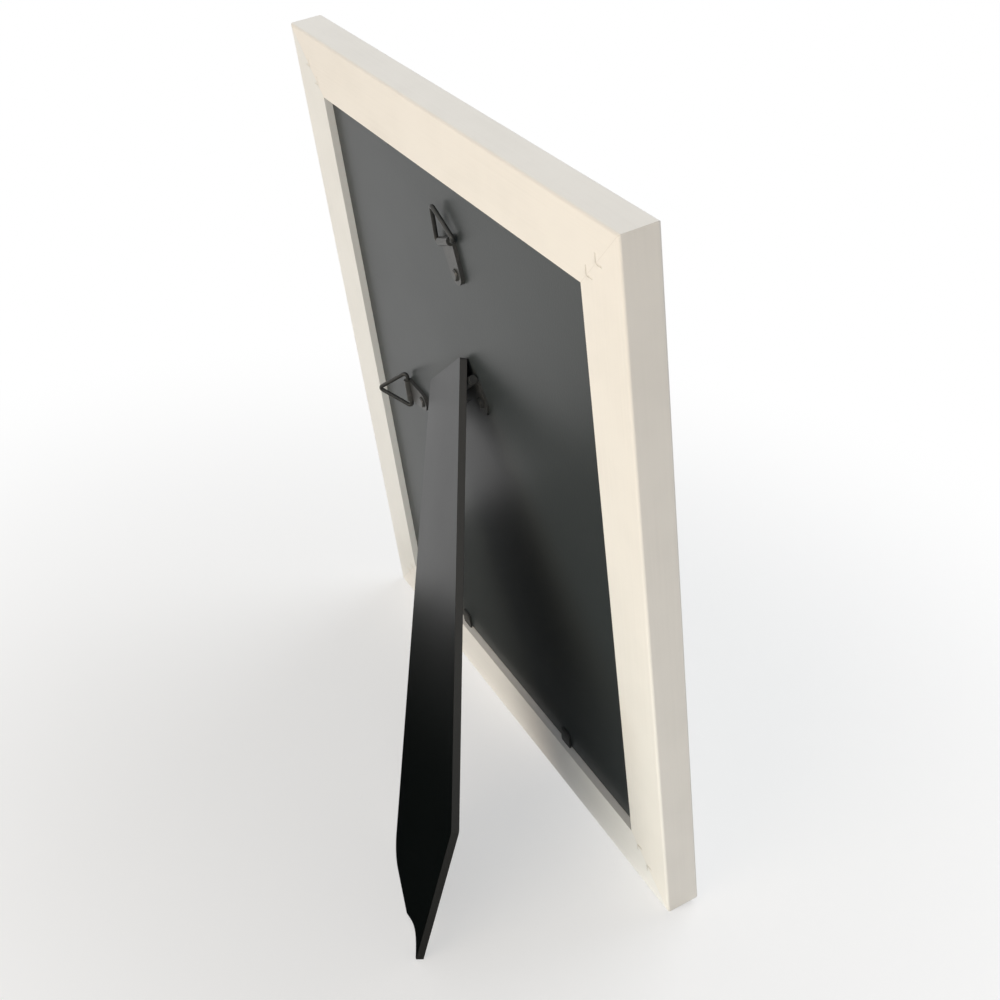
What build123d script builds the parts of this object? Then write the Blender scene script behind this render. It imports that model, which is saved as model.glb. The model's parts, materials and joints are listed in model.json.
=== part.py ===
from build123d import *
import os
from math import atan2, cos, hypot, radians, sin, sqrt

# Picture frame for a child's handprint: a mitred wooden moulding, the glazed sheets in its rabbet and a
# backboard with two hangers and a strut. It leans back on that strut. Millimetres and degrees.

# Moulding
frame_width = 260.0
frame_height = 300.0
rail_width = 25.0
rail_depth = 14.5
sight_lip = 6.0
lip_thickness = 4.0
edge_round = 1.1
inner_round = 0.4

# Sheets in the rabbet, from the front lip backwards
glass_thickness = 2.0
mat_thickness = 1.5
print_thickness = 0.4
filler_thickness = 0.6
board_thickness = 3.0
sheet_clearance = 0.5
window_width = 146.0
window_height = 186.0
mat_bevel = 45.0

# V-nails across the mitres
nail_spots = (20.5, 29.5)
nail_leg = 3.4
nail_spread = 90.0
nail_thickness = 0.5
nail_height = 8.0
nail_sink = 1.2
nail_clearance = 0.05

# Bendable tabs that hold the backboard in
tab_spacing = 96.0
tab_width = 7.0
tab_thickness = 0.8
tab_length = 16.0
bottom_tab_reach = 8.0
top_tab_reach = 3.2
tab_corner = 1.75
tab_gap = 0.25
tab_clearance = 0.05

# Hangers: a folded strap that turns on its rivet, and a triangular ring
top_hanger_drop = 63.4
top_hanger_offset = 4.6
top_hanger_turn = 20.5
side_hanger_inset = 74.6
top_ring_lift = 6.0
side_ring_lift = 45.0
strap_width = 10.4
strap_end_radius = 4.2
strap_length = 13.0
strap_sheet = 0.8
strap_gap = 0.05
ring_base = 18.0
ring_height = 14.7
ring_corner = 1.2
wire_radius = 0.9
running_clearance = 0.08

# Rivets
rivet_radius = 1.2
rivet_head_radius = 2.4
rivet_head_height = 0.9
rivet_head_bevel = 0.5
rivet_clearance = 0.05

# Strut and its hinge
lean = 11.2
foot_reach = 97.8
pin_offset = -12.3
pin_height = 177.0
strut_thickness = 3.0
strut_top_width = 46.4
strut_foot_width = 86.4
strut_foot_level = 45.0
heel_radius = 15.0
shoulder_radius = 3.0
top_corner_radius = 1.5
scallop_length = 23.5
scallop_height = 12.6
scallop_lead = 8.0
tip_flat = 1.0
stop_gap = 0.3

leaf_width = 50.0
leaf_length = 14.5
leaf_thickness = 0.8
leaf_bridge = 5.5
ear_width = 12.0
arch_radius = 3.0
strut_leaf_corner = 5.0
strut_rivet_spacing = 13.0
leaf_rivet_line = 9.0
strut_rivet_depth = 2.2
strut_rivet_head = 0.6
knuckle_radius = 1.9
knuckle_gap = 0.4
pin_radius = 0.9
pin_clearance = 0.05
pin_head_radius = 1.6
pin_head = 0.6
hinge_clearance = 0.3

# The rabbet and what stands in it, measured out of the back from the rails' back faces
lip_face = lip_thickness - rail_depth
mat_face = lip_face + glass_thickness
print_face = mat_face + mat_thickness
filler_face = print_face + print_thickness
board_face = filler_face + filler_thickness
board_back = board_face + board_thickness
sheet_width = frame_width - 2 * (rail_width + sheet_clearance)
sheet_height = frame_height - 2 * (rail_width + sheet_clearance)

# The strut stands on the floor line that the rounded bottom edge touches. Its tip is as far from that
# edge as from the side edge, so the frame leans alike upright and on its side.
lean_cos = cos(radians(lean))
lean_sin = sin(radians(lean))
edge_drop = edge_round * (lean_cos + lean_sin - 1)
pin_rise = knuckle_radius + hinge_clearance
pin_level = board_back + pin_rise
tip_margin = (edge_drop + foot_reach * lean_sin) / lean_cos
tip_across = frame_width / 2 - tip_margin
fold_across = tip_across - pin_offset
fold_down = pin_height - tip_margin
fold_reach = hypot(fold_across, fold_down)
tip_rise = foot_reach - pin_level
strut_reach = sqrt(fold_reach**2 + tip_rise**2 - pin_rise**2)
turn = atan2(fold_across, fold_down)
opening = atan2(tip_rise, fold_reach) - atan2(pin_rise, strut_reach)
strut_head = (pin_rise * (1 + cos(opening)) - stop_gap) / sin(opening)
strut_length = strut_reach + strut_head

# Slopes of the two floor lines across the strut's face, through its tip
rise_upright = lean_cos * cos(opening) * cos(turn) + lean_sin * sin(opening)
rise_sideways = lean_cos * cos(opening) * sin(turn) + lean_sin * sin(opening)
upright_slope = lean_cos * sin(turn) / rise_upright
sideways_slope = lean_cos * cos(turn) / rise_sideways

# The bench frame: seen from behind, x to the right, y up the frame and z out of its back, with its origin
# at the middle of the bottom back edge. The whole part is centred over its floor.
tip_depth = foot_reach + strut_thickness * cos(opening)
tip_up = tip_margin + strut_thickness * sin(opening) * cos(turn)
back_reach = tip_depth * lean_cos + tip_up * lean_sin
front_reach = edge_drop - rail_depth * lean_cos
bench = Plane(
    origin=(0, -(back_reach + front_reach) / 2, -edge_drop),
    x_dir=(-1, 0, 0),
    z_dir=(0, lean_cos, -lean_sin),
)


def on_bench(x, y, z=0.0):
    """A bench point in the part's frame."""
    return bench.from_local_coords(Vector(x, y, z))


def along_bench(x, y, z=0.0):
    """A bench direction in the part's frame."""
    return on_bench(x, y, z) - bench.origin


def save(piece, name):
    """Label a finished piece and write it."""
    piece.label = name
    export_step(piece, f"parts/{name}.step")


os.makedirs("parts", exist_ok=True)


# Rails: each lies along the x of its own plane, with its outer edge at y = 0 and its back at z = 0
half_width = frame_width / 2
half_height = frame_height / 2
rail_planes = {
    "bottom_rail": Plane(on_bench(0, 0), along_bench(1, 0), bench.z_dir),
    "left_rail": Plane(on_bench(half_width, half_height), along_bench(0, 1), bench.z_dir),
    "top_rail": Plane(on_bench(0, frame_height), along_bench(-1, 0), bench.z_dir),
    "right_rail": Plane(on_bench(-half_width, half_height), along_bench(0, -1), bench.z_dir),
}
rail_lengths = {
    "bottom_rail": frame_width,
    "left_rail": frame_height,
    "top_rail": frame_width,
    "right_rail": frame_height,
}
tab_reaches = {"bottom_rail": bottom_tab_reach, "top_rail": top_tab_reach}
tab_level = board_back + tab_gap + tab_thickness / 2
tab_places = [(-tab_spacing / 2, 0), (tab_spacing / 2, 0)]


def mitre_planes(side, length):
    """The two corner planes of a rail: origin at the outer corner, x inwards along the mitre."""
    inward = side.y_dir
    along = side.x_dir
    far = side.origin + along * (length / 2)
    near = side.origin - along * (length / 2)
    return (
        Plane(far, inward - along, side.z_dir),
        Plane(near, inward + along, side.z_dir),
    )


def nail_section(margin):
    """The section of the V-nails of one corner, grown by a margin, with each V on its mitre."""
    with Locations(*[(spot, 0) for spot in nail_spots]):
        for leg_angle in (180 - nail_spread / 2, 180 + nail_spread / 2):
            Rectangle(
                nail_leg + margin,
                nail_thickness + 2 * margin,
                rotation=leg_angle,
                align=(Align.MIN, Align.CENTER),
            )


def rail(side, length, tab_reach):
    """A rabbeted rail with mitred ends, V-nail slots and, where it has tabs, their slots."""
    section = Plane(side.origin, side.y_dir, side.x_dir)
    far_mitre, near_mitre = mitre_planes(side, length)
    with BuildPart() as moulding:
        with BuildSketch(section) as profile:
            with BuildLine():
                Polyline(
                    (0, 0),
                    (0, -rail_depth),
                    (rail_width + sight_lip, -rail_depth),
                    (rail_width + sight_lip, lip_face),
                    (rail_width, lip_face),
                    (rail_width, 0),
                    close=True,
                )
            make_face()
            outer_corners = profile.vertices().group_by(Axis.X)[0]
            sight_corners = profile.vertices().group_by(Axis.X)[-1]
            rabbet_corner = profile.vertices().group_by(Axis.Y)[-1].sort_by(Axis.X)[-1]
            fillet(outer_corners, edge_round)
            fillet(sight_corners.group_by(Axis.Y)[0], edge_round)
            fillet(rabbet_corner, inner_round)
        extrude(amount=length / 2, both=True)
        split(bisect_by=Plane(far_mitre.origin, side.z_dir, far_mitre.y_dir), keep=Keep.TOP)
        split(bisect_by=Plane(near_mitre.origin, side.z_dir, -near_mitre.y_dir), keep=Keep.TOP)
        for mitre in (far_mitre, near_mitre):
            with BuildSketch(mitre):
                nail_section(nail_clearance)
            extrude(amount=-(nail_sink + nail_height), mode=Mode.SUBTRACT)
        if tab_reach:
            with BuildSketch(Plane(side.origin + side.z_dir * tab_level, side.x_dir, side.z_dir)):
                with Locations(*tab_places):
                    with Locations((0, rail_width)):
                        Rectangle(
                            tab_width + 2 * tab_clearance,
                            tab_length - tab_reach,
                            align=(Align.CENTER, Align.MAX),
                        )
            extrude(amount=tab_thickness / 2 + tab_clearance, both=True, mode=Mode.SUBTRACT)
    return moulding.part


for name, side in rail_planes.items():
    save(rail(side, rail_lengths[name], tab_reaches.get(name, 0)), name)


# V-nails, sunk below the back faces
with BuildPart() as corner_v_nails:
    for name in ("bottom_rail", "top_rail"):
        for mitre in mitre_planes(rail_planes[name], rail_lengths[name]):
            with BuildSketch(mitre.offset(-nail_sink)):
                nail_section(0)
            extrude(amount=-nail_height)
save(corner_v_nails.part, "corner_v_nails")


# Sheets: glass, mat, print, filler and backboard, each flat against the next
sheet_centre = (0, half_height)


def sheet(face, thickness):
    """A plain sheet that fills the rabbet, from its front face backwards."""
    with BuildPart() as blank:
        with BuildSketch(bench.offset(face)):
            with Locations(sheet_centre):
                Rectangle(sheet_width, sheet_height)
        extrude(amount=thickness)
    return blank.part


save(sheet(lip_face, glass_thickness), "glazing")
save(sheet(print_face, print_thickness), "print_sheet")
save(sheet(filler_face, filler_thickness), "filler_card")

with BuildPart() as mat_board:
    add(sheet(mat_face, mat_thickness))
    with BuildSketch(bench.offset(print_face)):
        with Locations(sheet_centre):
            Rectangle(window_width, window_height)
    extrude(amount=-mat_thickness, taper=-mat_bevel, mode=Mode.SUBTRACT)
save(mat_board.part, "mat_board")


# Directions at the strut's hinge: across along its pin, down the fold on the board, and down and out of
# the open strut
across = along_bench(cos(turn), sin(turn))
fold = along_bench(sin(turn), -cos(turn))
outward = Vector(bench.z_dir)
strut_down = fold * cos(opening) + outward * sin(opening)
strut_out = outward * cos(opening) - fold * sin(opening)
pin_centre = on_bench(pin_offset, pin_height, pin_level)
board_section = Plane(pin_centre, fold, -across)
strut_section = Plane(pin_centre, strut_down, -across)
board_leaf_seat = Plane(pin_centre - outward * pin_rise, across, outward)
strut_leaf_seat = Plane(pin_centre + strut_out * pin_rise, across, strut_out)
ear_centre = (leaf_width - ear_width) / 2
board_leaf_rivets = [(-ear_centre, -leaf_rivet_line), (ear_centre, -leaf_rivet_line)]
strut_leaf_rivets = [
    (-strut_rivet_spacing / 2, -leaf_rivet_line),
    (strut_rivet_spacing / 2, -leaf_rivet_line),
]

# Hanger seats on the board: origin under the rivet, y towards the ring
top_turn = radians(top_hanger_turn)
hanger_seats = {
    "top_hanger": Plane(
        on_bench(top_hanger_offset, frame_height - top_hanger_drop, board_back),
        along_bench(cos(top_turn), sin(top_turn)),
        outward,
    ),
    "side_hanger": Plane(
        on_bench(side_hanger_inset - half_width, half_height, board_back), along_bench(0, 1), outward
    ),
}
ring_lifts = {"top_hanger": top_ring_lift, "side_hanger": side_ring_lift}
rivet_hole = rivet_radius + rivet_clearance

with BuildPart() as backboard:
    add(sheet(board_face, board_thickness))
    for seat in hanger_seats.values():
        with BuildSketch(seat):
            Circle(rivet_hole)
        extrude(amount=-board_thickness, mode=Mode.SUBTRACT)
    with BuildSketch(board_leaf_seat):
        with Locations(*board_leaf_rivets):
            Circle(rivet_hole)
    extrude(amount=-board_thickness, mode=Mode.SUBTRACT)
save(backboard.part, "backboard")


# Tabs: a blade driven into the rail and a tongue that bends up off the board
def tab_planes(name):
    """The planes of a rail's tabs: origin at the rabbet wall, x along the rail, y over the board."""
    side = rail_planes[name]
    wall = side.origin + side.y_dir * rail_width + side.z_dir * tab_level
    return [Plane(wall + side.x_dir * place[0], side.x_dir, side.z_dir) for place in tab_places]


def tab_tongue(root, reach):
    """A tongue with a round root at its bend and a round end over the board."""
    bend = root.origin + root.y_dir * (tab_gap + tab_thickness / 2)
    bend_section = Plane(bend, root.y_dir, root.x_dir)
    with BuildPart() as tongue:
        with BuildSketch(bend_section):
            Circle(tab_thickness / 2)
            Rectangle(
                reach - tab_gap - tab_thickness / 2,
                tab_thickness,
                align=(Align.MIN, Align.CENTER),
            )
        extrude(amount=tab_width / 2, both=True)
        far_end = tongue.faces().sort_by(Axis(bend, root.y_dir))[-1]
        fillet(far_end.edges().filter_by(Axis(bend, root.z_dir)), tab_corner)
    return tongue.part


with BuildPart() as tab_blades:
    for name, reach in tab_reaches.items():
        for root in tab_planes(name):
            with BuildSketch(root):
                with Locations((0, -tab_clearance)):
                    Rectangle(
                        tab_width,
                        tab_length - reach - 2 * tab_clearance,
                        align=(Align.CENTER, Align.MAX),
                    )
            extrude(amount=tab_thickness / 2, both=True)
save(tab_blades.part, "tab_blades")

tab_names = {
    "bottom_rail": ("bottom_right_tab", "bottom_left_tab"),
    "top_rail": ("top_left_tab", "top_right_tab"),
}
for rail_name, names in tab_names.items():
    for name, root in zip(names, tab_planes(rail_name)):
        save(tab_tongue(root, tab_reaches[rail_name]), name)


def rivet(shank, head_height=rivet_head_height):
    """A pan-headed rivet that stands on z = 0, with its shank below."""
    with BuildPart() as blank:
        with BuildSketch(Plane.XZ):
            with BuildLine():
                Polyline(
                    (0, head_height),
                    (rivet_head_radius - rivet_head_bevel, head_height),
                    (rivet_head_radius, head_height - rivet_head_bevel),
                    (rivet_head_radius, 0),
                    (rivet_radius, 0),
                    (rivet_radius, -shank),
                    (0, -shank),
                    close=True,
                )
            make_face()
        revolve(axis=Axis.Z)
    return blank.part


# Hangers
loop_radius = wire_radius + running_clearance
loop_outer = loop_radius + strap_sheet
strap_thickness = 2 * strap_sheet
hanger_rivet = rivet(strap_thickness + 2 * strap_gap + board_thickness)
strap_seats = {name: seat.offset(strap_gap) for name, seat in hanger_seats.items()}


def hanger_strap(seat):
    """A strap folded double round the ring's wire, with a round riveted end."""
    loop = Plane(seat.from_local_coords((0, strap_length, loop_outer)), seat.y_dir, seat.x_dir)
    with BuildPart() as strap:
        with BuildSketch(seat):
            Circle(strap_end_radius)
            with Locations((0, strap_length)):
                Rectangle(strap_width, loop_outer)
            make_hull()
            with Locations((0, strap_length)):
                Rectangle(strap_width, loop_outer, align=(Align.CENTER, Align.MIN), mode=Mode.SUBTRACT)
            Circle(rivet_hole, mode=Mode.SUBTRACT)
        extrude(amount=strap_thickness)
        with BuildSketch(loop):
            Circle(loop_outer)
        extrude(amount=strap_width / 2, both=True)
        with BuildSketch(loop):
            Circle(loop_radius)
        extrude(amount=strap_width, both=True, mode=Mode.SUBTRACT)
    return strap.part


def hanger_ring(seat, lift):
    """A triangle of bent wire, lifted off the board about its base."""
    base = seat.from_local_coords((0, strap_length, loop_outer))
    lift_out = seat.z_dir * cos(radians(lift)) - seat.y_dir * sin(radians(lift))
    with BuildPart() as ring:
        with BuildLine(Plane(base, seat.x_dir, lift_out)) as bend:
            FilletPolyline(
                (0, 0),
                (ring_base / 2, 0),
                (0, ring_height),
                (-ring_base / 2, 0),
                (0, 0),
                radius=(0, ring_corner, ring_corner, ring_corner),
            )
        wire = bend.wires()[0]
        with BuildSketch(Plane(wire @ 0, z_dir=wire % 0)):
            Circle(wire_radius)
        sweep(path=wire)
    return ring.part


for name, seat in strap_seats.items():
    save(hanger_strap(seat), f"{name}_strap")
    save(hanger_ring(seat, ring_lifts[name]), f"{name}_ring")
    with BuildPart(seat.offset(strap_thickness + strap_gap)) as clinched:
        add(hanger_rivet)
    save(clinched.part, f"{name}_rivet")


# Strut hinge: the board's leaf is two eared knuckles with an arch between them, and the strut's leaf is the
# middle knuckle
ear_gap = leaf_width - 2 * ear_width
middle_knuckle = ear_gap - 2 * knuckle_gap
knuckle_room = knuckle_radius + hinge_clearance

with BuildPart() as hinge_board_leaf:
    with BuildSketch(board_leaf_seat) as eared_plate:
        Rectangle(leaf_width, leaf_bridge, align=(Align.CENTER, Align.MAX))
        with Locations((-ear_centre, 0), (ear_centre, 0)):
            Rectangle(ear_width, leaf_length - ear_width / 2, align=(Align.CENTER, Align.MAX))
            with Locations((0, ear_width / 2 - leaf_length)):
                Circle(ear_width / 2)
        for arch_corner in ((-ear_gap / 2, -leaf_bridge), (ear_gap / 2, -leaf_bridge)):
            fillet(eared_plate.vertices().sort_by_distance(arch_corner)[0], arch_radius)
        with Locations(*board_leaf_rivets):
            Circle(rivet_hole, mode=Mode.SUBTRACT)
    extrude(amount=leaf_thickness)
    with BuildSketch(board_section):
        Circle(knuckle_radius)
    extrude(amount=leaf_width / 2, both=True)
    with BuildSketch(board_section):
        Rectangle(2 * knuckle_room, 2 * (pin_rise + hinge_clearance))
    extrude(amount=ear_gap / 2, both=True, mode=Mode.SUBTRACT)
    with BuildSketch(board_section):
        Circle(pin_radius + pin_clearance)
    extrude(amount=leaf_width, both=True, mode=Mode.SUBTRACT)
save(hinge_board_leaf.part, "hinge_board_leaf")

with BuildPart() as hinge_strut_leaf:
    with BuildSketch(strut_section):
        with Locations((0, pin_rise)):
            Rectangle(leaf_length, leaf_thickness, align=(Align.MIN, Align.MAX))
        Circle(knuckle_radius)
    extrude(amount=middle_knuckle / 2, both=True)
    lower_end = hinge_strut_leaf.faces().sort_by(Axis(pin_centre, strut_down))[-1]
    fillet(lower_end.edges().filter_by(Axis(pin_centre, strut_out)), strut_leaf_corner)
    with BuildSketch(strut_section):
        Circle(pin_radius + pin_clearance)
    extrude(amount=leaf_width, both=True, mode=Mode.SUBTRACT)
    with BuildSketch(strut_leaf_seat):
        with Locations(*strut_leaf_rivets):
            Circle(rivet_hole)
    extrude(amount=-leaf_thickness, mode=Mode.SUBTRACT)
save(hinge_strut_leaf.part, "hinge_strut_leaf")

with BuildPart() as hinge_pin:
    with BuildSketch(board_section):
        Circle(pin_radius)
    extrude(amount=leaf_width / 2 + pin_head, both=True)
    for end in (-1, 1):
        with BuildSketch(board_section.offset(end * leaf_width / 2)):
            Circle(pin_head_radius)
        extrude(amount=end * pin_head)
save(hinge_pin.part, "hinge_pin")

board_rivet = rivet(leaf_thickness + board_thickness)
with BuildPart(board_leaf_seat.offset(leaf_thickness)) as hinge_board_rivets:
    with Locations(*board_leaf_rivets):
        add(board_rivet)
save(hinge_board_rivets.part, "hinge_board_rivets")

strut_rivet = rivet(leaf_thickness + strut_rivet_depth, strut_rivet_head)
strut_rivet_seat = Plane(strut_leaf_seat.offset(-leaf_thickness).origin, across, -strut_out)
with BuildPart(strut_rivet_seat) as hinge_strut_rivets:
    with Locations(*[(x, -y) for x, y in strut_leaf_rivets]):
        add(strut_rivet)
save(hinge_strut_rivets.part, "hinge_strut_rivets")


# Strut: a tapered board whose foot is cut along the floor lines of both ways of standing. Its plane has
# its origin at the tip and y up the strut.
tip = pin_centre + strut_down * strut_reach + strut_out * pin_rise
strut_face = Plane(tip, across, strut_out)
taper = (strut_foot_width - strut_top_width) / 2 / (strut_length - strut_foot_level)
half_at_tip = strut_top_width / 2 + taper * strut_length
heel_across = -half_at_tip / (1 + taper * upright_slope)
shoulder_across = half_at_tip / (1 + taper * sideways_slope)
heel = Vector(heel_across, -upright_slope * heel_across)
shoulder = Vector(shoulder_across, sideways_slope * shoulder_across)
top_left = Vector(-strut_top_width / 2, strut_length)
top_right = Vector(strut_top_width / 2, strut_length)
ground = heel.normalized()
scallop_start = ground * scallop_length
scallop_end = ground * tip_flat

with BuildPart() as strut:
    with BuildSketch(strut_face) as outline:
        with BuildLine():
            Polyline(scallop_start, heel, top_left, top_right, shoulder, (0, 0), scallop_end)
            Bezier(
                scallop_end,
                (scallop_end.X, scallop_height),
                (-scallop_lead, scallop_height),
                scallop_start,
            )
        make_face()
        fillet(outline.vertices().sort_by_distance(heel)[0], heel_radius)
        fillet(outline.vertices().sort_by_distance(shoulder)[0], shoulder_radius)
        for corner in (top_left, top_right):
            fillet(outline.vertices().sort_by_distance(corner)[0], top_corner_radius)
    extrude(amount=strut_thickness)
    with BuildSketch(strut_leaf_seat):
        with Locations(*strut_leaf_rivets):
            Circle(rivet_hole)
    extrude(amount=strut_rivet_depth, mode=Mode.SUBTRACT)
save(strut.part, "strut")
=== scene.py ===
import json
import math

import bmesh
import bpy
from mathutils import Euler, Matrix, Vector


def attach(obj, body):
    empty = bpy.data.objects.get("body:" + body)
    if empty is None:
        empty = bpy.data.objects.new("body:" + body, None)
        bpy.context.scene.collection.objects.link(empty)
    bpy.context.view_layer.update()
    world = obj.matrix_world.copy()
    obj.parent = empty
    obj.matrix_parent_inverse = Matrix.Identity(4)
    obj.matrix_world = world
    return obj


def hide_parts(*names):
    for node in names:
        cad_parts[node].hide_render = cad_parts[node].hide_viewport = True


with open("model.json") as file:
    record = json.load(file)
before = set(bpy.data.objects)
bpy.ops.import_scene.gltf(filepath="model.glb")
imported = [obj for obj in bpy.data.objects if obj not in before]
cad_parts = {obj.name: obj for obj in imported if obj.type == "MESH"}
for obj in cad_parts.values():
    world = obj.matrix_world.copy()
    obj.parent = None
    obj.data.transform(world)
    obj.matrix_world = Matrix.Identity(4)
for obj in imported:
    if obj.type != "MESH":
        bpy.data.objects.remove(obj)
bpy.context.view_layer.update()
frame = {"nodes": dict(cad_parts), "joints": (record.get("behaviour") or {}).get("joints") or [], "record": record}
MM = 0.001

# The frame seen from behind: right, up its back and out of it, from the middle of the bottom back
# edge. Patterns are laid out in these directions, in millimetres.
FRAME_WIDTH, FRAME_HEIGHT, RAIL_WIDTH = 260.0, 300.0, 25.0
mounts = {mount["name"]: mount for mount in frame["record"]["mounts"]}
joints = {joint["name"]: joint for joint in frame["joints"]}
BACK_RIGHT = Vector((-1, 0, 0))
BACK_UP = Vector(joints["side_ring_swing"]["axis"])
BACK_OUT = BACK_RIGHT.cross(BACK_UP)
WALL_FACE = Vector(mounts["wall_face"]["pos_m"])
BACK_ORIGIN = WALL_FACE - BACK_UP * (FRAME_HEIGHT - RAIL_WIDTH / 2) * MM
BACK_MIDDLE = BACK_ORIGIN + BACK_UP * (FRAME_HEIGHT / 2) * MM

# The strut: across along its pin, up its length and out of its outer face, from the pin's middle
STRUT_OPENING = math.radians(-joints["strut_hinge"]["range_deg"][0])
STRUT_ACROSS = -Vector(joints["strut_hinge"]["axis"])
STRUT_FOLD = STRUT_ACROSS.cross(BACK_OUT)
STRUT_UP = -(STRUT_FOLD * math.cos(STRUT_OPENING) + BACK_OUT * math.sin(STRUT_OPENING))
STRUT_OUT = STRUT_ACROSS.cross(STRUT_UP)
STRUT_INNER_FACE, STRUT_OUTER_FACE = 2.2, 5.2
PIN = Vector(joints["strut_hinge"]["pos_m"])


def axes_matrix(right, up, out):
    """The turn that takes x, y and z to three directions."""
    return Matrix((right, up, out)).transposed()


BACK_TURN = axes_matrix(BACK_RIGHT, BACK_UP, BACK_OUT)
FRONT_TURN = axes_matrix(-BACK_RIGHT, BACK_UP, -BACK_OUT)
STRUT_TURN = axes_matrix(STRUT_ACROSS, STRUT_UP, STRUT_OUT)

# Camera: behind the frame, above it and off to the right as seen from there
CAMERA_PLACE, CAMERA_TURN = (-0.44501, 0.22510, 0.43242), (58.977, -3.245, -117.632)
LENS, SENSOR_WIDTH = 50.97, 36.0
camera_data = bpy.data.cameras.new("camera")
camera_data.lens = LENS
camera_data.sensor_width = SENSOR_WIDTH
camera_data.clip_start = 0.01
camera = bpy.data.objects.new("camera", camera_data)
camera.location = CAMERA_PLACE
camera.rotation_euler = Euler(math.radians(angle) for angle in CAMERA_TURN)
bpy.context.scene.collection.objects.link(camera)
bpy.context.scene.camera = camera


class Signal:
    """A node socket that takes part in arithmetic: each operator adds its Math node."""

    def __init__(self, socket):
        self.socket = socket

    def maths(self, operation, *values):
        """A Math node on some values, in the same tree."""
        node = self.socket.id_data.nodes.new("ShaderNodeMath")
        node.operation = operation
        for slot, value in zip(node.inputs, values):
            feed(slot, value)
        return Signal(node.outputs[0])

    def __add__(self, other):
        return self.maths("ADD", self, other)

    def __radd__(self, other):
        return self.maths("ADD", other, self)

    def __sub__(self, other):
        return self.maths("SUBTRACT", self, other)

    def __rsub__(self, other):
        return self.maths("SUBTRACT", other, self)

    def __mul__(self, other):
        return self.maths("MULTIPLY", self, other)

    def __rmul__(self, other):
        return self.maths("MULTIPLY", other, self)

    def __truediv__(self, other):
        return self.maths("DIVIDE", self, other)

    def __rtruediv__(self, other):
        return self.maths("DIVIDE", other, self)

    def __neg__(self):
        return self.maths("MULTIPLY", self, -1.0)

    def __abs__(self):
        return self.maths("ABSOLUTE", self)

    def most(self, other):
        """The larger of two values."""
        return self.maths("MAXIMUM", self, other)


def feed(slot, value):
    """Link a signal to an input, or set the input's own value."""
    if isinstance(value, Signal):
        slot.id_data.links.new(value.socket, slot)
    else:
        slot.default_value = value


def socket_of(sockets, name):
    """A socket by its identifier, or by its name with underscores for spaces."""
    for socket in sockets:
        if socket.identifier == name:
            return socket
    return sockets[name.replace("_", " ")]


class Nodes:
    """A node tree in which one method makes every node."""

    def __init__(self, tree):
        self.tree = tree

    def node(self, kind, settings=None, out=None, **inputs):
        """Add a node: its settings first, then its inputs, and return one output as a signal."""
        node = self.tree.nodes.new(kind)
        for name, value in (settings or {}).items():
            setattr(node, name, value)
        for name, value in inputs.items():
            feed(socket_of(node.inputs, name), value)
        return Signal(socket_of(node.outputs, out) if out else node.outputs[0])

    def split(self, vector):
        """The three parts of a vector."""
        return [self.node("ShaderNodeSeparateXYZ", out=part, Vector=vector) for part in "XYZ"]

    def join(self, x=0.0, y=0.0, z=0.0):
        """A vector from its three parts."""
        return self.node("ShaderNodeCombineXYZ", X=x, Y=y, Z=z)


class Finish(Nodes):
    """A material with a Principled shader at its end."""

    def __init__(self, name, **constants):
        self.material = bpy.data.materials.new(name)
        self.material.use_nodes = True
        super().__init__(self.material.node_tree)
        self.shader = self.tree.nodes["Principled BSDF"]
        for socket, value in constants.items():
            self.set(socket, value)

    def set(self, socket, value):
        """Set or link an input of the shader."""
        feed(socket_of(self.shader.inputs, socket), value)

    def place(self, origin=(0, 0, 0), turn=None, unit=1.0):
        """Object coordinates counted from an origin along turned axes, in a unit."""
        return self.node(
            "ShaderNodeMapping",
            {"vector_type": "TEXTURE"},
            Vector=self.node("ShaderNodeTexCoord", out="Object"),
            Location=origin,
            Rotation=turn.to_euler() if turn else (0, 0, 0),
            Scale=(unit, unit, unit),
        )

    def noise(self, vector, scale, detail=3.0, roughness=0.5):
        """Noise between 0 and 1, with its scale in cycles for each unit of the vector."""
        return self.node(
            "ShaderNodeTexNoise", Vector=vector, Scale=scale, Detail=detail, Roughness=roughness
        )

    def step(self, value, low, high, start=0.0, end=1.0):
        """A smooth change from start to end while a value goes from low to high."""
        return self.node(
            "ShaderNodeMapRange",
            {"interpolation_type": "SMOOTHSTEP"},
            Value=value,
            From_Min=low,
            From_Max=high,
            To_Min=start,
            To_Max=end,
        )

    def blend(self, factor, first, second):
        """A colour between two colours."""
        first, second = (c if isinstance(c, Signal) else (*c, 1.0) for c in (first, second))
        return self.node(
            "ShaderNodeMix",
            {"data_type": "RGBA"},
            out="Result_Color",
            Factor_Float=factor,
            A_Color=first,
            B_Color=second,
        )

    def stretch(self, vector, factors):
        """A vector with its parts multiplied."""
        return self.node(
            "ShaderNodeVectorMath", {"operation": "MULTIPLY"}, Vector=vector, Vector_001=factors
        )

    def length(self, vector):
        """The length of a vector."""
        return self.node(
            "ShaderNodeVectorMath", {"operation": "LENGTH"}, out="Value", Vector=vector
        )

    def bump(self, height, strength, distance):
        """Small relief from a height."""
        relief = self.node("ShaderNodeBump", Height=height, Strength=strength, Distance=distance)
        self.set("Normal", relief)

    def on(self, *nodes):
        """Give this material to CAD nodes."""
        for name in nodes:
            slots = frame["nodes"][name].data.materials
            slots.clear()
            slots.append(self.material)


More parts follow.
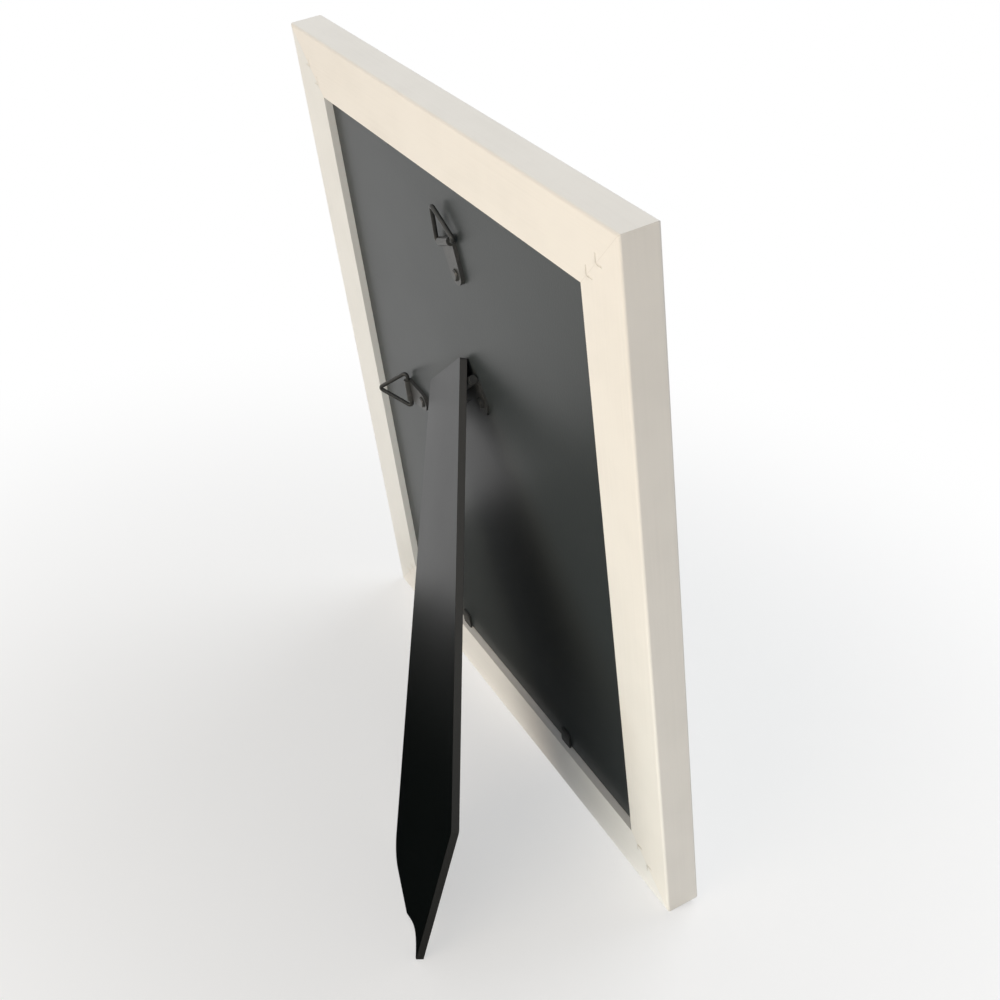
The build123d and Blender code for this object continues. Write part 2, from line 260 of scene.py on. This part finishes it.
class Shaping(Nodes):
    """A geometry tree with named lengths in millimetres, turned into one plain mesh."""

    def __init__(self, name, **lengths):
        super().__init__(bpy.data.node_groups.new(name, "GeometryNodeTree"))
        self.name = name
        self.values = {}
        for label, value in lengths.items():
            socket = self.tree.interface.new_socket(
                label, in_out="INPUT", socket_type="NodeSocketFloat"
            )
            self.values[socket.identifier] = value * MM
        self.tree.interface.new_socket(
            "Geometry", in_out="OUTPUT", socket_type="NodeSocketGeometry"
        )
        self.start = self.tree.nodes.new("NodeGroupInput")

    def given(self, label):
        """One of the named lengths."""
        return Signal(self.start.outputs[label])

    def piece(self, shape, material, body):
        """Run the tree once and let its mesh ride on a body."""
        whole = self.node("GeometryNodeRealizeInstances", Geometry=shape)
        painted = self.node("GeometryNodeSetMaterial", Geometry=whole, Material=material)
        feed(self.tree.nodes.new("NodeGroupOutput").inputs[0], painted)
        piece = bpy.data.objects.new(self.name, bpy.data.meshes.new(self.name))
        bpy.context.scene.collection.objects.link(piece)
        modifier = piece.modifiers.new("shape", "NODES")
        modifier.node_group = self.tree
        for identifier, value in self.values.items():
            modifier[identifier] = value
        finished = piece.evaluated_get(bpy.context.evaluated_depsgraph_get())
        mesh = bpy.data.meshes.new_from_object(finished)
        piece.modifiers.remove(modifier)
        piece.data = mesh
        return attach(piece, body)


def back_place(finish):
    """Millimetres on the frame's back: right, up and out."""
    return finish.place(BACK_ORIGIN, BACK_TURN, MM)


def strut_place(finish):
    """Millimetres on the strut: across, up and out, from its pin."""
    return finish.place(PIN, STRUT_TURN, MM)


# White paint over wood, with the grain along each rail, a hairline at the mitres and soft dents
# over the V-nails, darkened with painted shade
PAINT, MITRE_SHADE = (0.86, 0.83, 0.78), (0.55, 0.51, 0.45)
# The right and bottom rails take greyer, cooler copies of the same white paint: painted shade
RIGHT_PAINT_PAINTED_SHADE, BOTTOM_PAINT_PAINTED_SHADE = (0.82, 0.825, 0.81), (0.85, 0.84, 0.82)
GRAIN_SHADE, PAINT_ROUGHNESS = 0.95, 0.40
UPRIGHT_GRAIN, CROSS_GRAIN = (0.9, 0.012, 0.9), (0.012, 0.9, 0.9)
HAIRLINE_CORE, HAIRLINE_EDGE, HAIRLINE_WAVER, HAIRLINE_STRENGTH = 0.1, 0.42, 0.2, 0.22
NAIL_SPOT, NAIL_PITCH = 20.5, 9.0
DENT_CORE, DENT_EDGE, DENT_WAVER, DENT_STRENGTH = 0.8, 3.2, 1.2, 0.16
BELOW_BACK, NEAR_BACK = -1.0, -0.2


def rail_paint(name, colour, along_grain):
    """Satin paint for one rail."""
    paint = Finish(name, Specular_IOR_Level=0.3)
    place = back_place(paint)
    x, y, z = paint.split(place)
    grain = paint.noise(paint.stretch(place, along_grain), 1.0, detail=4.0)
    peel = paint.noise(place, 1.1, detail=2.0)
    smudge = paint.noise(place, 0.03, detail=3.0)
    from_side = FRAME_WIDTH / 2 - abs(x)
    from_end = FRAME_HEIGHT / 2 - abs(y - FRAME_HEIGHT / 2)
    off_line = abs(from_side - from_end) + peel * HAIRLINE_WAVER
    hairline = paint.step(off_line, HAIRLINE_CORE, HAIRLINE_EDGE, start=HAIRLINE_STRENGTH, end=0.0)
    along_mitre = (from_side + from_end) * math.sqrt(0.5)
    off_mitre = (from_side - from_end) * math.sqrt(0.5)
    off_spot = abs(along_mitre - (NAIL_SPOT + NAIL_PITCH / 2)) - NAIL_PITCH / 2
    from_spot = paint.length(paint.join(off_spot, off_mitre)) + peel * DENT_WAVER
    on_back = paint.step(z, BELOW_BACK, NEAR_BACK)
    dent_and_painted_shade = paint.step(from_spot, DENT_CORE, DENT_EDGE, start=DENT_STRENGTH, end=0.0) * on_back
    shade = tuple(part * GRAIN_SHADE for part in colour)
    tone = paint.step(smudge * 0.7 + grain * 0.3, 0.4, 0.75)
    coat = paint.blend(tone, colour, shade)
    # The dents darken the paint towards the mitre colour: painted shade
    paint.set("Base_Color", paint.blend(hairline.most(dent_and_painted_shade), coat, MITRE_SHADE))
    paint.set("Roughness", PAINT_ROUGHNESS + smudge * 0.14 + grain * 0.06)
    relief = grain * 0.5 + peel * 0.5 - hairline - dent_and_painted_shade * 3
    paint.bump(relief, strength=0.10, distance=0.4 * MM)
    return paint


rail_paint("left_paint", PAINT, UPRIGHT_GRAIN).on("left_rail")
rail_paint("right_paint", RIGHT_PAINT_PAINTED_SHADE, UPRIGHT_GRAIN).on("right_rail")
rail_paint("top_paint", PAINT, CROSS_GRAIN).on("top_rail")
rail_paint("bottom_paint", BOTTOM_PAINT_PAINTED_SHADE, CROSS_GRAIN).on("bottom_rail")


# Filler in the mouths of the V-nail slots, painted over and a little sunk: two V's on each of the
# four mitres
PLUG_SHADE = (0.80, 0.765, 0.70)
PLUG_LEG, PLUG_SECTION, PLUG_DIP = 3.3, 0.56, 0.05
plug_paint = Finish("plug_paint", Roughness=0.5, Specular_IOR_Level=0.3)
plug_speck = plug_paint.noise(back_place(plug_paint), 1.6)
plug_paint.set("Base_Color", plug_paint.blend(plug_speck, PAINT, PLUG_SHADE))

plugs = Shaping(
    "nail_plugs",
    Spot=NAIL_SPOT,
    Pitch=NAIL_PITCH,
    Leg=PLUG_LEG,
    Section=PLUG_SECTION,
    Dip=PLUG_DIP,
)
reach = plugs.given("Leg") * math.sqrt(0.5)
legs = plugs.node(
    "GeometryNodeMeshLine",
    {"mode": "END_POINTS"},
    Count=3,
    Start_Location=plugs.join(-reach, -reach),
    Offset=plugs.join(-reach, reach),
)
bend = plugs.node("GeometryNodeInputIndex")
legs = plugs.node(
    "GeometryNodeSetPosition",
    Geometry=legs,
    Selection=bend.maths("COMPARE", bend, 1.0, 0.5),
    Offset=plugs.join(reach),
)
bar = plugs.node(
    "GeometryNodeCurvePrimitiveQuadrilateral",
    Width=plugs.given("Section"),
    Height=plugs.given("Section"),
)
plug = plugs.node(
    "GeometryNodeCurveToMesh",
    Curve=plugs.node("GeometryNodeMeshToCurve", Mesh=legs),
    Profile_Curve=bar,
    Fill_Caps=True,
)
depth = -plugs.given("Dip") - plugs.given("Section") / 2
spots = plugs.node(
    "GeometryNodeMeshLine",
    Count=2,
    Start_Location=plugs.join(plugs.given("Spot"), 0.0, depth),
    Offset=plugs.join(plugs.given("Pitch")),
)
pair = plugs.node("GeometryNodeInstanceOnPoints", Points=spots, Instance=plug)
corners = plugs.node(
    "GeometryNodeMeshGrid",
    Size_X=FRAME_WIDTH * MM,
    Size_Y=FRAME_HEIGHT * MM,
    Vertices_X=2,
    Vertices_Y=2,
)
corner_x, corner_y, _ = plugs.split(plugs.node("GeometryNodeInputPosition"))
side_x, side_y = corner_x.maths("SIGN", corner_x), corner_y.maths("SIGN", corner_y)
inward = side_y.maths("ARCTAN2", -side_y, -side_x)
all_plugs = plugs.node(
    "GeometryNodeInstanceOnPoints",
    Points=corners,
    Instance=pair,
    Rotation=plugs.join(0.0, 0.0, inward),
)
set_in = plugs.node(
    "GeometryNodeTransform",
    Geometry=all_plugs,
    Translation=BACK_MIDDLE,
    Rotation=BACK_TURN.to_euler(),
)
plugs.piece(set_in, plug_paint.material, "frame")


# Black hardboard: smooth satin lacquer with a fine fibre, scuffs and a little dust, greyer on the
# strut's cut edges, which fade darker towards the foot with painted shade
# Backboard and strut are the same hardboard: the backboard's black is lifted with painted light and the strut's is
# darkened with painted shade
BOARD_BLACK_PAINTED_LIGHT, STRUT_BLACK_PAINTED_SHADE = (0.038, 0.044, 0.046), (0.0024, 0.0036, 0.0038)
SCUFF, SCUFF_STRENGTH, DUST_STRENGTH = (0.042, 0.045, 0.047), 0.22, 0.2
BOARD_ROUGHNESS, CUT_ROUGHER = 0.29, 0.4
CUT_HEAD, CUT_FOOT_PAINTED_SHADE, CUT_SHADE_RUN = (0.072, 0.074, 0.075), (0.020, 0.021, 0.021), 200.0
CUT_CLEAR, CUT_START = 0.12, 0.04


def lacquered_board(name, black, place_of):
    """Lacquer for one board, with its coat and sheen kept for what is laid over them."""
    board = Finish(name, Specular_IOR_Level=0.23)
    place = place_of(board)
    fibre = board.noise(board.stretch(place, (1.0, 0.35, 1.0)), 1.6, detail=4.0)
    cloud = board.noise(place, 0.018, detail=3.0)
    along_scratch = board.stretch(place, (0.05, 1.4, 1.0))
    scratch = board.noise(along_scratch, 1.0, detail=5.0, roughness=0.65)
    scuffs = board.step(scratch + cloud * 0.25, 0.76, 0.86, start=0.0, end=SCUFF_STRENGTH)
    specks = board.noise(place, 2.3, detail=1.0)
    dust = board.step(specks, 0.76, 0.83, start=0.0, end=DUST_STRENGTH)
    board.coat = board.blend(scuffs.most(dust), black, SCUFF)
    board.sheen = BOARD_ROUGHNESS + cloud * 0.08 + scuffs * 0.2
    board.set("Base_Color", board.coat)
    board.set("Roughness", board.sheen)
    board.bump(fibre, strength=0.10, distance=0.3 * MM)
    return board


lacquered_board("board_lacquer", BOARD_BLACK_PAINTED_LIGHT, back_place).on("backboard")

strut_lacquer = lacquered_board("strut_lacquer", STRUT_BLACK_PAINTED_SHADE, strut_place)
_, up, out = strut_lacquer.split(strut_place(strut_lacquer))
half_thickness = (STRUT_OUTER_FACE - STRUT_INNER_FACE) / 2
off_middle = abs(out - (STRUT_INNER_FACE + half_thickness))
cut = strut_lacquer.step(
    off_middle, half_thickness - CUT_CLEAR, half_thickness - CUT_START, start=1.0, end=0.0
)
# The cut edges go from grey at the head to near black at the foot: painted shade
cut_edge_painted_shade = strut_lacquer.blend(strut_lacquer.step(up, -CUT_SHADE_RUN, 0.0), CUT_FOOT_PAINTED_SHADE, CUT_HEAD)
strut_lacquer.set("Base_Color", strut_lacquer.blend(cut, strut_lacquer.coat, cut_edge_painted_shade))
strut_lacquer.set("Roughness", strut_lacquer.sheen + cut * CUT_ROUGHER)
strut_lacquer.on("strut")


# Steel: black painted hinge, hangers and tabs, and the bare V-nails
# The hanger straps and their rivets take a lighter copy of the same black steel: painted light
STRAP_BLACK_PAINTED_LIGHT, STRAP_WORN_PAINTED_LIGHT = (0.056, 0.059, 0.060), (0.080, 0.081, 0.081)
STEEL_BLACK, STEEL_WORN = (0.040, 0.043, 0.044), (0.065, 0.066, 0.066)
BARE_STEEL, BARE_WORN = (0.30, 0.30, 0.30), (0.42, 0.42, 0.42)


def worked_steel(name, colour, worn, roughness, metal):
    """Steel with drawing streaks and worn patches."""
    steel = Finish(name, Metallic=metal, Specular_IOR_Level=0.3)
    place = steel.place(unit=MM)
    streak = steel.noise(steel.stretch(place, (0.4, 2.5, 2.5)), 1.0, detail=4.0)
    patch = steel.noise(place, 0.35, detail=3.0)
    steel.set("Base_Color", steel.blend(steel.step(patch, 0.45, 0.8), colour, worn))
    steel.set("Roughness", roughness + streak * 0.12)
    steel.bump(streak, strength=0.08, distance=0.2 * MM)
    return steel


worked_steel("strap_steel", STRAP_BLACK_PAINTED_LIGHT, STRAP_WORN_PAINTED_LIGHT, roughness=0.28, metal=0.0).on(
    "top_hanger_strap", "top_hanger_rivet", "side_hanger_strap", "side_hanger_rivet"
)
worked_steel("black_steel", STEEL_BLACK, STEEL_WORN, roughness=0.28, metal=0.0).on(
    "top_hanger_ring",
    "side_hanger_ring",
    "hinge_board_leaf",
    "hinge_pin",
    "hinge_strut_leaf",
    "hinge_board_rivets",
    "hinge_strut_rivets",
    "tab_blades",
    "bottom_left_tab",
    "bottom_right_tab",
    "top_left_tab",
    "top_right_tab",
)
worked_steel("bare_steel", BARE_STEEL, BARE_WORN, roughness=0.36, metal=0.9).on("corner_v_nails")


# Picture glass, clear with faint wiping marks: its faces are a hair clear of the lip and the mat,
# and its edges are ground
GLASS_TINT, WIPE_HAZE = (0.97, 0.99, 0.98, 1.0), 0.05
GLASS_GAP, GLASS_ARRIS = 0.1 * MM, 0.3 * MM
SAME_POINT, SAME_FLAT = 0.001 * MM, 0.01
glass = Finish("picture_glass", Transmission_Weight=1.0, IOR=1.5, Base_Color=GLASS_TINT)
wipe = glass.noise(glass.stretch(back_place(glass), (0.05, 0.012, 1.0)), 1.0, detail=3.0)
glass.set("Roughness", glass.step(wipe, 0.5, 0.85, start=0.0, end=WIPE_HAZE))

pane = bmesh.new()
pane.from_mesh(frame["nodes"]["glazing"].data)
bmesh.ops.remove_doubles(pane, verts=pane.verts, dist=SAME_POINT)
bmesh.ops.dissolve_limit(pane, angle_limit=SAME_FLAT, verts=pane.verts, edges=pane.edges)
pane_middle = sum((corner.co for corner in pane.verts), Vector()) / len(pane.verts)
for corner in pane.verts:
    side = (corner.co - pane_middle).dot(BACK_OUT)
    corner.co -= BACK_OUT * math.copysign(GLASS_GAP, side)
bmesh.ops.bevel(pane, geom=pane.edges, offset=GLASS_ARRIS, segments=1, affect="EDGES")
pane_mesh = bpy.data.meshes.new("picture_glass")
pane.to_mesh(pane_mesh)
pane.free()
pane_mesh.materials.append(glass.material)
picture_glass = bpy.data.objects.new("picture_glass", pane_mesh)
bpy.context.scene.collection.objects.link(picture_glass)
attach(picture_glass, "frame")
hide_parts("glazing")


# Mat with a white bevelled core round its window
WINDOW_WIDTH, WINDOW_HEIGHT, MAT_BEVEL, CORE_BLUR = 146.0, 186.0, 1.5, 0.15
MAT, MAT_FLECK, MAT_CORE = (0.83, 0.79, 0.71), (0.77, 0.72, 0.63), (0.90, 0.89, 0.86)
mat = Finish("mat_card", Roughness=0.85, Specular_IOR_Level=0.2)
mat_place = back_place(mat)
mat_x, mat_y, _ = mat.split(mat_place)
tooth = mat.noise(mat_place, 1.4, detail=5.0, roughness=0.6)
off_window_side = abs(mat_x) - WINDOW_WIDTH / 2
off_window_end = abs(mat_y - FRAME_HEIGHT / 2) - WINDOW_HEIGHT / 2
off_window = off_window_side.most(off_window_end)
core = mat.step(off_window, MAT_BEVEL, MAT_BEVEL + CORE_BLUR, start=1.0, end=0.0)
mat_face = mat.blend(mat.step(tooth, 0.35, 0.7), MAT, MAT_FLECK)
mat.set("Base_Color", mat.blend(core, mat_face, MAT_CORE))
mat.bump(tooth * (1 - core), strength=0.35, distance=0.4 * MM)
mat.on("mat_board")

# Filler card behind the print
CARD, CARD_FLECK = (0.36, 0.34, 0.31), (0.48, 0.46, 0.42)
filler = Finish("grey_card", Roughness=0.9, Specular_IOR_Level=0.2)
pulp = filler.noise(back_place(filler), 0.9, detail=5.0, roughness=0.65)
filler.set("Base_Color", filler.blend(pulp, CARD, CARD_FLECK))
filler.on("filler_card")


# Print: a child's inked hand on white paper. Each pad is an oval: its place, half width, half
# length and turn.
PAPER, PAPER_FIBRE, INK = (0.88, 0.87, 0.84), (0.82, 0.81, 0.77), (0.115, 0.155, 0.215)
HAND_SIZE = 1.25
PALM_PADS = (
    (-9.5, -15.0, 10.5, 16.5, -16),
    (9.5, -14.5, 10.5, 18.0, 8),
    (0.0, -20.0, 12.0, 11.0, 0),
    (-12.0, 3.0, 6.8, 6.4, 10),
    (-3.0, 6.0, 6.8, 6.6, 4),
    (6.2, 5.5, 6.6, 6.4, -6),
    (14.0, 1.5, 6.0, 6.6, -14),
    (1.0, -5.0, 15.0, 9.0, 0),
)
# Fingers: the root's place, lean from upright, half width and the lengths of the pads
FINGERS = (
    (-13.4, 9.5, 14, 4.5, (10.0, 8.5, 9.0)),
    (-3.4, 12.5, 3, 4.7, (11.0, 9.5, 9.5)),
    (6.8, 11.8, -7, 4.5, (10.3, 9.0, 9.0)),
    (15.4, 7.4, -19, 3.9, (8.4, 7.2, 7.6)),
    (-17.5, -14.0, 48, 5.2, (12.0, 11.5)),
)
PAD_OVERLAP, PAD_MELT = 0.70, 0.35
PALM_HOLLOW, HOLLOW_WEAR, HOLLOW_INK = (0.5, -9.0, 9.0, 8.0, 0), 0.5, 0.66
INK_FULL, INK_OUT, EDGE_WEAR = 0.96, 1.08, 0.26
SPECKLE_INK, RIDGE_DEPTH = 0.5, 0.34


def hand_pads():
    """The ovals of the whole hand."""
    pads = list(PALM_PADS)
    for x, y, lean, half_width, lengths in FINGERS:
        turn = math.radians(lean)
        run = 0.0
        for length in lengths:
            middle = run + length / 2
            across, up = x - math.sin(turn) * middle, y + math.cos(turn) * middle
            pads.append((across, up, half_width, length * PAD_OVERLAP, lean))
            run += length
    return pads


paper = Finish("print_paper", Specular_IOR_Level=0.25)
paper_place = paper.place(BACK_MIDDLE, FRONT_TURN, MM)
ragged = paper.noise(paper_place, 0.9, detail=4.0)
hand_place = paper.place(BACK_MIDDLE, FRONT_TURN, MM * HAND_SIZE)
flat_place = paper.stretch(hand_place, (1.0, 1.0, 0.0))


def in_oval(across, up, half_width, half_length, turn):
    """How far out of an oval a point is: 1 on its edge."""
    inside = paper.node(
        "ShaderNodeMapping",
        {"vector_type": "TEXTURE"},
        Vector=flat_place,
        Location=(across, up, 0),
        Rotation=(0, 0, math.radians(turn)),
        Scale=(half_width, half_length, 1),
    )
    return paper.length(inside)


oval = None
for pad in hand_pads():
    edge = in_oval(*pad)
    oval = edge if oval is None else oval.maths("SMOOTH_MIN", oval, edge, PAD_MELT)
ridges = paper.node(
    "ShaderNodeTexWave",
    {"wave_type": "RINGS", "rings_direction": "Z"},
    out="Fac",
    Vector=flat_place,
    Scale=0.42,
    Distortion=5.0,
    Detail=2.0,
    Detail_Scale=0.25,
)
inked = paper.step(oval + ragged * EDGE_WEAR, INK_FULL, INK_OUT, start=1.0, end=0.0)
from_hollow = in_oval(*PALM_HOLLOW) + ragged * HOLLOW_WEAR
palm_hollow = paper.step(from_hollow, 0.4, 1.7, start=HOLLOW_INK, end=1.0)
blotch = paper.noise(paper_place, 0.55, detail=4.0, roughness=0.65)
speckle = paper.step(blotch, 0.34, 0.6, start=SPECKLE_INK, end=1.0)
density = inked * palm_hollow * speckle * (1 - RIDGE_DEPTH + ridges * RIDGE_DEPTH)
paper.set("Base_Color", paper.blend(density, paper.blend(ragged, PAPER, PAPER_FIBRE), INK))
paper.set("Roughness", 0.8 - inked * 0.2)
paper.bump(ragged, strength=0.1, distance=0.2 * MM)
paper.on("print_sheet")


# Stage, world and lights
WHITE = (1.0, 1.0, 1.0, 1.0)


def flat_piece(name, near, far, level):
    """A level rectangle of the stage between two corners."""
    mesh = bpy.data.meshes.new(name)
    outline = ((near[0], near[1]), (far[0], near[1]), (far[0], far[1]), (near[0], far[1]))
    mesh.from_pydata([(x, y, level) for x, y in outline], [], [(0, 1, 2, 3)])
    piece = bpy.data.objects.new(name, mesh)
    bpy.context.scene.collection.objects.link(piece)
    return piece


def seen_rays(nodes):
    """1 for rays from the camera, straight, through glass or by a gloss."""
    camera_ray, clear_ray, gloss_ray = (
        nodes.node("ShaderNodeLightPath", out=f"Is_{kind}_Ray")
        for kind in ("Camera", "Transmission", "Glossy")
    )
    return camera_ray.most(clear_ray).most(gloss_ray)


# A pale floor that goes over to plain white away from the object
FLOOR_REACH, FLOOR_TONE = 6.0, (0.94, 0.94, 0.94, 1.0)
SHADOW_REACH, WHITE_FROM, LEAST_WHITE = 0.14, 0.45, 0.5
floor = flat_piece("floor", (-FLOOR_REACH, -FLOOR_REACH), (FLOOR_REACH, FLOOR_REACH), 0.0)
pale = Finish("pale_floor", Base_Color=FLOOR_TONE, Roughness=0.9, Specular_IOR_Level=0.0)
from_middle = pale.length(pale.place())
away = pale.step(from_middle, SHADOW_REACH, WHITE_FROM, start=LEAST_WHITE, end=1.0)
white = pale.node("ShaderNodeEmission", Color=WHITE, Strength=1.0)
mixed = pale.node(
    "ShaderNodeMixShader",
    Fac=seen_rays(pale) * away,
    Shader=Signal(pale.shader.outputs[0]),
    Shader_001=white,
)
feed(pale.tree.nodes["Material Output"].inputs["Surface"], mixed)
floor.data.materials.append(pale.material)

# A dark sheet on the floor, seen only in the gloss of the black boards: painted shade in their reflections
SHEET_NEAR, SHEET_FAR, SHEET_LEVEL = (-0.7, -0.04), (0.156, 0.9), 0.0005
SHEET_SHADE_DARK, SHEET_SHADE_GREY, SHEET_SHADE_FADE = (0.002, 0.002, 0.002), (0.14, 0.14, 0.14), 0.19
shade_sheet = flat_piece("dark_cloth", SHEET_NEAR, SHEET_FAR, SHEET_LEVEL)
shade_sheet.visible_camera = shade_sheet.visible_diffuse = False
shade_sheet.visible_transmission = shade_sheet.visible_shadow = False
dark = Finish("dark_cloth", Roughness=0.9, Specular_IOR_Level=0.0)
sheet_x, _, _ = dark.split(dark.place())
fade = dark.step(sheet_x, 0.0, SHEET_SHADE_FADE)
dark.set("Base_Color", dark.blend(fade, SHEET_SHADE_DARK, SHEET_SHADE_GREY))
shade_sheet.data.materials.append(dark.material)

# An even sky that is plain white where it is seen
AMBIENT = 0.385
world = bpy.data.worlds.new("studio")
world.use_nodes = True
bpy.context.scene.world = world
sky = Nodes(world.node_tree)
background = world.node_tree.nodes["Background"]
feed(background.inputs["Strength"], AMBIENT + seen_rays(sky) * (1 - AMBIENT))
feed(background.inputs["Color"], WHITE)

bpy.context.scene.view_settings.view_transform = "Standard"


def softbox(name, place, aim, size, watts, colour):
    """A rectangular lamp that the camera doesn't see, returned for what else it needs."""
    lamp = bpy.data.lights.new(name, "AREA")
    lamp.shape = "RECTANGLE"
    lamp.size, lamp.size_y = size
    lamp.energy = watts
    lamp.color = colour
    box = bpy.data.objects.new(name, lamp)
    box.location = place
    box.rotation_euler = (Vector(aim) - Vector(place)).to_track_quat("-Z", "Y").to_euler()
    bpy.context.scene.collection.objects.link(box)
    return box


softbox(
    "key",
    place=(-0.45, 1.28, 0.30),
    aim=(0, 0, 0.12),
    size=(1.0, 0.8),
    watts=10.6,
    colour=(1.0, 0.84, 0.64),
)
softbox(
    "overhead",
    place=(-0.1, 0.1, 1.4),
    aim=(0, 0, 0.1),
    size=(1.0, 1.0),
    watts=1.6,
    colour=(0.90, 0.97, 1.0),
)
softbox(
    "front",
    place=(0.25, -0.8, 1.3),
    aim=(0, -0.05, 0.15),
    size=(1.0, 1.0),
    watts=8.2,
    colour=(0.95, 0.98, 1.0),
)

# A small lamp by the foot lifts the lower ends of the rails and the board alone
low_fill = softbox(
    "low_fill",
    place=(-0.16, 0.19, 0.018),
    aim=(-0.117, -0.035, 0.04),
    size=(0.12, 0.03),
    watts=0.18,
    colour=(0.80, 0.95, 1.0),
)
low_fill.visible_glossy = False
lifted = bpy.data.collections.new("lifted_by_low_fill")
for name in ("top_rail", "bottom_rail", "left_rail", "right_rail", "backboard"):
    lifted.objects.link(frame["nodes"][name])
low_fill.light_linking.receiver_collection = lifted
